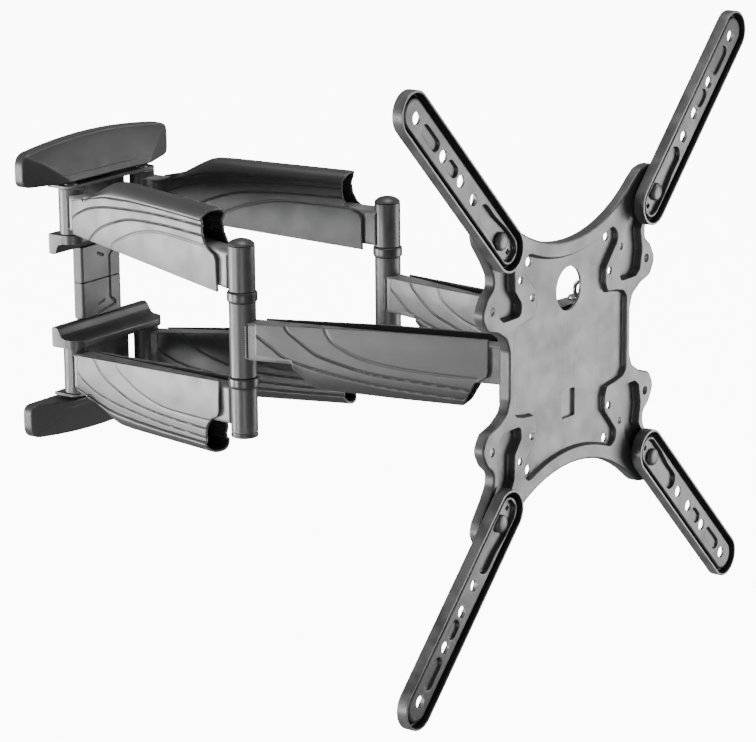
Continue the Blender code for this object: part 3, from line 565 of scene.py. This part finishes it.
FORE = {
    "free": [(9, -14), (113, -18), (195, -19)],
    "crease": [(9, 8), (42, 9), (61, 12), (120, 12), (195, 10)],
    "ridge": [(9, 12), (20, 13), (34, 15.5), (42, 18), (48, 22), (53, 26.5), (58, 29.8), (64, 31.3), (120, 32.4),
              (195, 32.6)],
    "end": [(195, -19), (195, 4), (194, 8), (190, 10.5), (185, 13), (180, 22), (176, 30), (173, 33)],
    "roof_from": 44.0,
    "counts": (56, 38, 210),
    "flat_from": 0.5,
    "duct": 11.1,
    "power": 0.5,
    "valley": 0.0,
    "grooves": [
        ([(16, -6), (28, 2), (42, 10), (78, 18), (110, 22.5), (143, 25), (176, 26.5)], 0.7, 0.65),
        ([(36, -20), (40, -12), (48, -6), (58, 1), (69, 6), (105, 14), (143, 17), (181, 19.5)], 0.7, 0.65),
        ([(69, -17), (72, -11), (78, -5), (96, 3), (118, 7), (143, 9), (187, 10.5)], 0.35, 0.8),
    ],
}
HEAD_Y = pivot["left_head_swivel"][1]


def pivots_of(side):
    """Plan positions of the three upright pins on one side: at the wall, at the elbow and at the head."""
    wall_pin = pivot[f"{side}_rear_fold"][:2]
    return wall_pin, pivot[f"{side}_elbow"][:2], np.array([wall_pin[0], HEAD_Y])


for side in ("left", "right"):
    wall_pin, elbow, head_pin = pivots_of(side)
    for level, flip in (("upper", 1), ("lower", -1)):
        cable_cover(f"{side}_{level}_rear_cover", f"{side}_rear", wall_pin, elbow, flip, REAR)
    cable_cover(f"{side}_forearm_cover", f"{side}_fore", elbow, head_pin, -1, FORE)

# %% [markdown]
# ## Arms, rings and caps
# Under the covers each arm is a flat steel tube welded between two short lengths of round tube. The flat tube is a
# rounded rectangle carried along a straight line, the barrels and every ring, cap and hinge shaft are turned profiles,
# and each weld is a thin bead whose radius ripples along its length: r = 1.1 + 0.14 sin(2 pi z / 1.7). A torch leaves
# just such a row of scales.

# %% Steel arms
ARM = float(np.linalg.norm(pivot["left_elbow"][:2] - pivot["left_rear_fold"][:2]))
TUBE_END, WELD_HALF, WELD_ASIDE = 5.4, 12.6, 8.2


def steel_arm(node, body, start, end, tube, barrels):
    """tube is (height at the first pivot, height at the second), barrels are (s, low, high). Each barrel has a weld
    bead on both sides of the flat tube."""
    arm = Skin((*start, 0), (*(np.array(end) - start), 0), (0, 0, 1))
    section = rounded([(-8, -14), (8, -14), (8, 14), (-8, 14)], 2.6, 1.0)
    s = np.array([TUBE_END, TUBE_END, ARM - TUBE_END, ARM - TUBE_END])[:, None] + 0 * section[None, :, 0]
    size = np.array([0.0, 1.0, 1.0, 0.0])[:, None]
    middle = np.interp(s, [0, ARM], tube)
    points = np.stack([s, middle + section[None, :, 1] * size, section[None, :, 0] * size], -1)
    arm.patch(points.reshape(-1, 3), grid_faces(4, len(section), False, True))
    along = unit(np.array([*(np.array(end) - start), 0.0]))
    beads = Skin()
    for run, low, high in barrels:
        x, y = np.array(start) + along[:2] * run
        profile = [(5.35, low), (9.5, low), (9.85, low + 0.2), (10, low + 0.6),
                   (10, high - 0.6), (9.85, high - 0.2), (9.5, high), (5.35, high)]
        beads.turned(profile, x, y, wrap=True)
        centre = np.interp(run, [0, ARM], tube)
        z = np.linspace(centre - WELD_HALF, centre + WELD_HALF, 60)
        r = 1.1 + 0.14 * np.sin(2 * np.pi * z / 1.7)
        r[[0, -1]] = 0
        inward = 6.6 if run == 0 else -6.6
        for w in (-WELD_ASIDE, WELD_ASIDE):
            foot = np.array([x, y]) + along[:2] * inward + np.array([along[1], -along[0]]) * w
            beads.turned(np.stack([r, z], 1), *foot, steps=10)
    arm.points += beads.points
    arm.faces += [[corner + arm.count for corner in face] for face in beads.faces]
    arm.piece(f"{node}_steel", body, "black_steel", [node], sharp=45)


def turned_piece(name, body, slot, node, profile, x, y, flip=1, steps=64, wrap=False):
    """One turned part on an upright line. Its profile is (radius, height), upside down where flip is -1."""
    r, z = np.asarray(profile, float).T
    Skin().turned(np.stack([r, z * flip], 1), x, y, steps, wrap).piece(name, body, slot, [node], sharp=40)


RING = [(5.4, 28.3), (10.5, 28.3), (11.0, 28.6), (11.25, 29.3), (11.3, 30.5),
        (11.3, 33.5), (11.25, 34.7), (11.0, 35.4), (10.5, 35.7), (5.4, 35.7)]
DOME = [(0, 74.9), (2.5, 74.75), (5, 74.2), (7, 73.4), (8.6, 72.4), (9.6, 71.3), (9.95, 70.7), (9.7, 70.3), (0, 70.3)]
FOOT = [(0, 73.5), (9.2, 73.5), (9.8, 73.3), (10.15, 72.8), (10.2, 72.2), (10.15, 71.6), (9.7, 71.2), (9.6, 70.3),
        (0, 70.3)]
SHAFT = [(0, 39.4), (4.6, 39.4), (5, 39.8), (5, 83.9), (4.7, 84.2), (0, 84.2)]
for side in ("left", "right"):
    wall_pin, elbow, head_pin = pivots_of(side)
    for level, flip in (("upper", 1), ("lower", -1)):
        spans = [(0, *sorted((flip * 45, flip * 81))), (ARM, *sorted((flip * 36, flip * 70)))]
        steel_arm(f"{side}_{level}_rear_arm", f"{side}_rear", wall_pin, elbow, (flip * 63, flip * 50.2), spans)
        turned_piece(f"{level}_{side}_hinge_shaft", "wall", "zinc_hardware", f"{level}_{side}_hinge_pin", SHAFT,
                     *wall_pin, flip, 48)
        turned_piece(f"{side}_{level}_ring", f"{side}_fore", "nylon", f"{side}_{level}_elbow_ring", RING,
                     *elbow, flip, wrap=True)
    steel_arm(f"{side}_forearm", f"{side}_fore", elbow, head_pin, (0, 0), [(0, -28, 28), (ARM, -28, 28)])
    turned_piece(f"{side}_elbow_dome", f"{side}_rear", "black_plastic", f"{side}_elbow_top_cap", DOME, *elbow)
    turned_piece(f"{side}_elbow_foot", f"{side}_rear", "black_plastic", f"{side}_elbow_bottom_cap", FOOT, *elbow, -1)

# %% [markdown]
# ## Wall side covers
# The ends of the wall plate hide under two arched covers. Seen from the front, a cover is an arch over a straight
# lower edge. Its face leans out towards that edge, and a facet cuts each end off. Both are worked out over the same
# grid, and the front stands off the wall by the lower of the two, -0.4 log(exp(-face / 0.4) + exp(-facet / 0.4)), so
# that the crease between them stays soft. A rounded rim runs all the way round to the wall.

# %% End covers
COVER_HALF, COVER_FOOT, SHOULDER, CROWN = 86.0, 85.5, 111.0, 118.0
RIM, BLEND = 1.5, 0.4


def arch_height(x):
    """z of the arch: shoulder + rise x cos(quarter turn at the end of the cover)^0.9."""
    return SHOULDER + (CROWN - SHOULDER) * np.cos(np.pi * np.clip(x, -COVER_HALF, COVER_HALF) / (2 * COVER_HALF)) ** 0.9


def cover_front(x, z):
    """How far the front stands off the wall: the lower of the leaning face and the end facet, with a short blend."""
    top = arch_height(x) - RIM
    share = np.clip((top - z) / (top - COVER_FOOT), 0, 1)
    face = 9 + 15 * share**0.9
    facet = np.clip(24 - (np.abs(x) - 46) * 15 / 38, 8.5, 60)
    return np.maximum(-BLEND * np.log(np.exp(-face / BLEND) + np.exp(-facet / BLEND)), 7.5)


def end_cover(node, name, sign):
    """Wall, rounded corner and front are rows of one grid. The front's rows shrink from the outline to a line
    inside."""
    x = np.linspace(66, -66, 11)
    top = np.stack([x, arch_height(x)], 1)
    ends = [(-COVER_HALF, COVER_FOOT), (COVER_HALF, COVER_FOOT), (COVER_HALF, SHOULDER)]
    radii = [7.0, 7.0, 12.0] + [9.0] * len(top) + [12.0]
    outline = rounded(np.vstack([ends, top, [(-COVER_HALF, SHOULDER)]]), radii, 1.2)
    out = outward(outline)
    inner = outline - out * RIM
    centre = np.stack([inner[:, 0] * 0.72, COVER_FOOT + 6 + 0 * inner[:, 1]], 1)
    front = inner + (centre - inner) * np.linspace(0, 1, 46)[:, None, None]
    depth = cover_front(front[..., 0], front[..., 1])
    rise = np.linspace(0, 1, 9)[:, None]
    turn = np.linspace(0, np.pi / 2, 7)[1:, None]
    wall = np.dstack([outline[None] + 0 * rise[..., None], 0.5 + (depth[0] - 1.9) * rise])
    corner = np.dstack([outline + out * (RIM * (np.cos(turn) - 1))[..., None], depth[0] - 1.4 + 1.4 * np.sin(turn)])
    rows = np.concatenate([wall, corner, np.dstack([front, depth])[1:]]) * (1, sign, 1)
    cover = Skin((0, 0, 0), (1, 0, 0), (0, 0, 1))
    cover.patch(rows, grid_faces(len(rows), len(outline), False, True))
    cover.piece(name, "wall", "black_plastic", [node], sharp=50, thickness=2.0)


end_cover("top_end_cover", "top_arched_cover", 1)
end_cover("bottom_end_cover", "bottom_arched_cover", -1)

# %% [markdown]
# ## Column cover and hinge brackets
# Between the brackets a clip-on cover hides the column. Its face carries a shadow gap that jogs where the two halves
# part: again a groove by distance on a grid. The brackets are C-shaped castings. Their scooped side is a profile in Y
# and Z, swept across the width, whose nose follows the round plan of the hinge ends.

# %% Column cover
def column_half(node, name, low, high, jog):
    """A U-shaped section stacked from low to high, whose face dips 0.9 mm along each line of the jog."""
    half, front = 23.2, 10.0
    corners = [(-half, 0.6), (-half, front), (half, front), (half, 0.6)]
    section = evenly(rounded(corners, [0.2, 2.4, 2.4, 0.2], 0.4), 0.4)
    front_line = section[section[:, 1] > 0.65]
    front_line = front_line[np.argsort(np.arctan2(front_line[:, 1] + 6, front_line[:, 0]))]
    z = np.concatenate([[low], np.linspace(low + 0.5, high - 0.5, 110), [high]])[:, None]
    x, y = front_line.T[:, None, :] + 0 * z[None]
    y = y - 0.5 * ((z < low + 0.2) | (z > high - 0.2)) * (y > 8.5)
    flat = np.stack([x, z + 0 * x], -1).reshape(-1, 2)
    dip = sum(0.9 * np.exp(-((distance(flat, np.array(line, float)) / 0.7) ** 2)) for line in jog)
    y = y - dip.reshape(x.shape) * (y > 9)
    cover = Skin((0, 0, 0), (1, 0, 0), (0, 0, 1))
    cover.patch(np.stack([x, z + 0 * x, y], -1).reshape(-1, 3), grid_faces(len(z), x.shape[1]))
    cover.piece(name, "wall", "black_plastic", [node], sharp=45, thickness=1.5)


column_half("upper_column_cover", "column_cover_top", 0.15, 28.6,
            [[(9.5, 0), (9.5, 17), (15, 22), (15, 29)], [(-4, 21), (2, 18.5)]])
column_half("lower_column_cover", "column_cover_bottom", -28.6, -0.15,
            [[(9.5, 0), (9.5, -17), (15, -21), (15, -23), (-4, -27)], [(-4, -20), (2, -18)]])


# %% Hinge brackets
def bracket(node, name, sign):
    """The scooped side is a grid of stations across and profile points round; its nose recedes as the hinge ends do."""
    casting = Skin((0, 0, 0), (1, 0, 0), (0, -1, 0))
    top = [(3.4, 45.0), (3.4, 29.4), (7.5, 28.7), (9.0, 29.1), (10.2, 30.5), (11.2, 32.8), (12.4, 35.2), (14.2, 36.9),
           (17, 37.8), (21, 38.1), (28.2, 38.1), (29.4, 38.5), (30, 39.6), (30, 43.6), (29.5, 44.6), (28.4, 45.0)]
    y, z = evenly(np.array(top, float), 0.7).T[:, None, :]
    x = np.concatenate([[-54.0, -54.0, -53.7], np.linspace(-53.2, 53.2, 120), [53.7, 54.0, 54.0]])[:, None]
    nose = 18 + np.sqrt(np.maximum(144 - np.maximum(np.abs(x) - 42, 0) ** 2, 0))
    y = np.minimum(y, np.maximum(nose, 18.0))
    inset = np.interp(np.abs(x), [53.2, 53.7, 54.0], [0, 0.15, 0.6])
    middle = (16.0, 40.0)
    pole = np.zeros_like(x)
    pole[[0, -1]] = 1
    y = y + (middle[0] - y) * np.maximum(pole, inset / 12)
    z = z + (middle[1] - z) * np.maximum(pole, inset / 12)
    points = np.stack([x + 0 * y, y + 0 * z, sign * (z + 0 * x)], -1)
    casting.patch(points.reshape(-1, 3), grid_faces(len(x), points.shape[1], False, True))
    plan = rounded([(-53, 3.4), (53, 3.4), (53, 25.5), (-53, 25.5)], [0.5, 0.5, 8.0, 8.0])
    casting.flat(sign * 83.3, plan).flat(sign * 81.3, plan)
    casting.band(plan, [(0, sign * 81.3), (0, sign * 83.3)])
    web = rounded([(-34, 3.4), (34, 3.4), (34, 6.9), (-34, 6.9)], 0.6, 0.7)
    casting.flat(sign * 82, web).flat(sign * 44, web)
    casting.band(web, [(0, sign * 44), (0, sign * 82)])
    casting.piece(name, "wall", "black_steel", [node], sharp=40)


bracket("upper_hinge_bracket", "upper_bracket", 1)
bracket("lower_hinge_bracket", "lower_bracket", -1)

# %% [markdown]
# ## Head pins
# Each forearm ends on a pin with a washer-like head and an upright eye above it, where the cables are tied. The pin
# is turned, and the eye is a torus: (R + r cos b) round the ring and r sin b across it.

# %% Head pins
def head_pin_piece(side, x, y):
    """The pin with its head, and the eye that stands on it."""
    pin = Skin()
    pin.turned([(0, -32.8), (4.6, -32.8), (5, -32.4), (5, 31.6), (7.0, 31.6), (7.4, 32.0), (7.4, 33.2), (7.0, 33.6),
                (2.2, 33.7), (0, 33.7)], x, y, 48)
    a = np.linspace(0, 2 * np.pi, 48, endpoint=False)[:, None]
    b = np.linspace(0, 2 * np.pi, 14, endpoint=False)[None]
    r = 4.7 + 1.5 * np.cos(b)
    eye = np.stack([x + r * np.cos(a), y + 1.5 * np.sin(b) + 0 * a, 38.7 + r * np.sin(a)], -1)
    pin.patch(eye.reshape(-1, 3), grid_faces(48, 14, True, True))
    pin.piece(f"{side}_head_pin_and_eye", "head", "zinc_hardware", [f"{side}_head_pin"])


head_pin_piece("left", -42.0, HEAD_Y)
head_pin_piece("right", 42.0, HEAD_Y)

# %% [markdown]
# ## The pieces that keep their solids
# Plates, bolts and the yoke that sit behind the covers already have their true shape, so their nodes stay and only
# take a finish. Their meshes are left untouched.

# %% Finishes on the remaining nodes
slot_of = {part["node"]: part["material_slot"] for part in frame["record"]["subparts"]}
kept = [node for node in frame["nodes"].values() if not node.hide_render]
for node in kept:
    node.data.materials.clear()
    node.data.materials.append(FINISH[slot_of[node.name]])
print("kept nodes:", ", ".join(sorted(node.name for node in kept)))

# %% [markdown]
# ## Room, light and camera
# Six soft disc lamps light the mount. The strongest stands behind the left arms and rakes along their covers, so the
# near arms shine and the far ones stay in their shade. A small weak one faces the screen plate, a third lights the
# left flank, two fills open the shadows and a wide one hangs above. The room is pure white, but only to the camera:
# a light path test gives every other ray a dim world, and the glowing floor is kept out of diffuse and glossy rays.
# A black object in a room that really shone this brightly would turn grey all over.

# %% Room, lights and camera
WHITE, DIM, FLOOR_GLOW = 11.0, 0.3, 11.5


def lamp(name, place, target, size, power):
    """A disc lamp that points at its target and that the camera can't see. Places are in metres."""
    light = bpy.data.lights.new(name, "AREA")
    light.shape, light.size, light.energy = "DISK", size, power
    obj = bpy.data.objects.new(name, light)
    obj.location = place
    obj.visible_camera = False
    obj.rotation_euler = (Vector(target) - Vector(place)).to_track_quat("-Z", "Y").to_euler()
    bpy.context.scene.collection.objects.link(obj)


lamp("behind_the_left_arms", (-1.5, 2.3, -0.38), (0, -0.15, 0), 1.2, 150)
lamp("front_of_the_plate", (0.8, -1.02, -0.22), (0, -0.43, 0), 0.6, 9.3)
lamp("key_from_the_left", (-2.3, 0.6, -0.35), (0, -0.22, 0), 0.8, 54)
lamp("low_left_fill", (-1.8, -1.6, -0.6), (0, -0.1, 0), 0.8, 12)
lamp("right_fill", (2.0, -2.0, 0.9), (0, -0.25, 0), 1.2, 22)
lamp("soft_top", (0.2, -0.2, 2.4), (0, -0.2, 0), 1.2, 46)

world = bpy.data.worlds.new("white_room")
world.use_nodes = True
tree = world.node_tree
seen, soft = tree.nodes["Background"], tree.nodes.new("ShaderNodeBackground")
seen.inputs["Color"].default_value = soft.inputs["Color"].default_value = (1, 1, 1, 1)
seen.inputs["Strength"].default_value, soft.inputs["Strength"].default_value = WHITE, DIM
mix = tree.nodes.new("ShaderNodeMixShader")
tree.links.new(tree.nodes.new("ShaderNodeLightPath").outputs["Is Camera Ray"], mix.inputs["Fac"])
tree.links.new(soft.outputs["Background"], mix.inputs[1])
tree.links.new(seen.outputs["Background"], mix.inputs[2])
tree.links.new(mix.outputs["Shader"], tree.nodes["World Output"].inputs["Surface"])
bpy.context.scene.world = world

floor_mesh = bpy.data.meshes.new("floor")
floor_mesh.from_pydata([(-9, -9, -0.9), (9, -9, -0.9), (9, 9, -0.9), (-9, 9, -0.9)], [], [(0, 1, 2, 3)])
paint = bpy.data.materials.new("pale_floor")
paint.use_nodes = True
shader = paint.node_tree.nodes["Principled BSDF"]
shader.inputs["Base Color"].default_value = shader.inputs["Emission Color"].default_value = (0.9, 0.9, 0.9, 1)
shader.inputs["Roughness"].default_value = 0.8
shader.inputs["Emission Strength"].default_value = FLOOR_GLOW
floor_mesh.materials.append(paint)
floor = bpy.data.objects.new("floor", floor_mesh)
floor.visible_diffuse = floor.visible_glossy = False
bpy.context.scene.collection.objects.link(floor)

CAMERA_AT, LENS = (-1.9121, -1.6782, 0.5883), 157.37
AZIMUTH, ELEVATION, ROLL = np.radians([-53.78, 14.75, -0.52])
back = np.array([np.sin(AZIMUTH) * np.cos(ELEVATION), -np.cos(AZIMUTH) * np.cos(ELEVATION), np.sin(ELEVATION)])
side_way = np.array([np.cos(AZIMUTH), np.sin(AZIMUTH), 0.0])
upward = np.cross(back, side_way)
right = side_way * np.cos(ROLL) + upward * np.sin(ROLL)
above = upward * np.cos(ROLL) - side_way * np.sin(ROLL)
lens = bpy.data.cameras.new("camera")
lens.sensor_width, lens.lens = 36.0, LENS
lens.clip_start, lens.clip_end = 0.1, 50
camera = bpy.data.objects.new("camera", lens)
rows = [(*row, place) for row, place in zip(np.stack([right, above, back], 1), CAMERA_AT)]
camera.matrix_world = Matrix([*rows, (0, 0, 0, 1)])
bpy.context.scene.collection.objects.link(camera)
bpy.context.scene.camera = camera
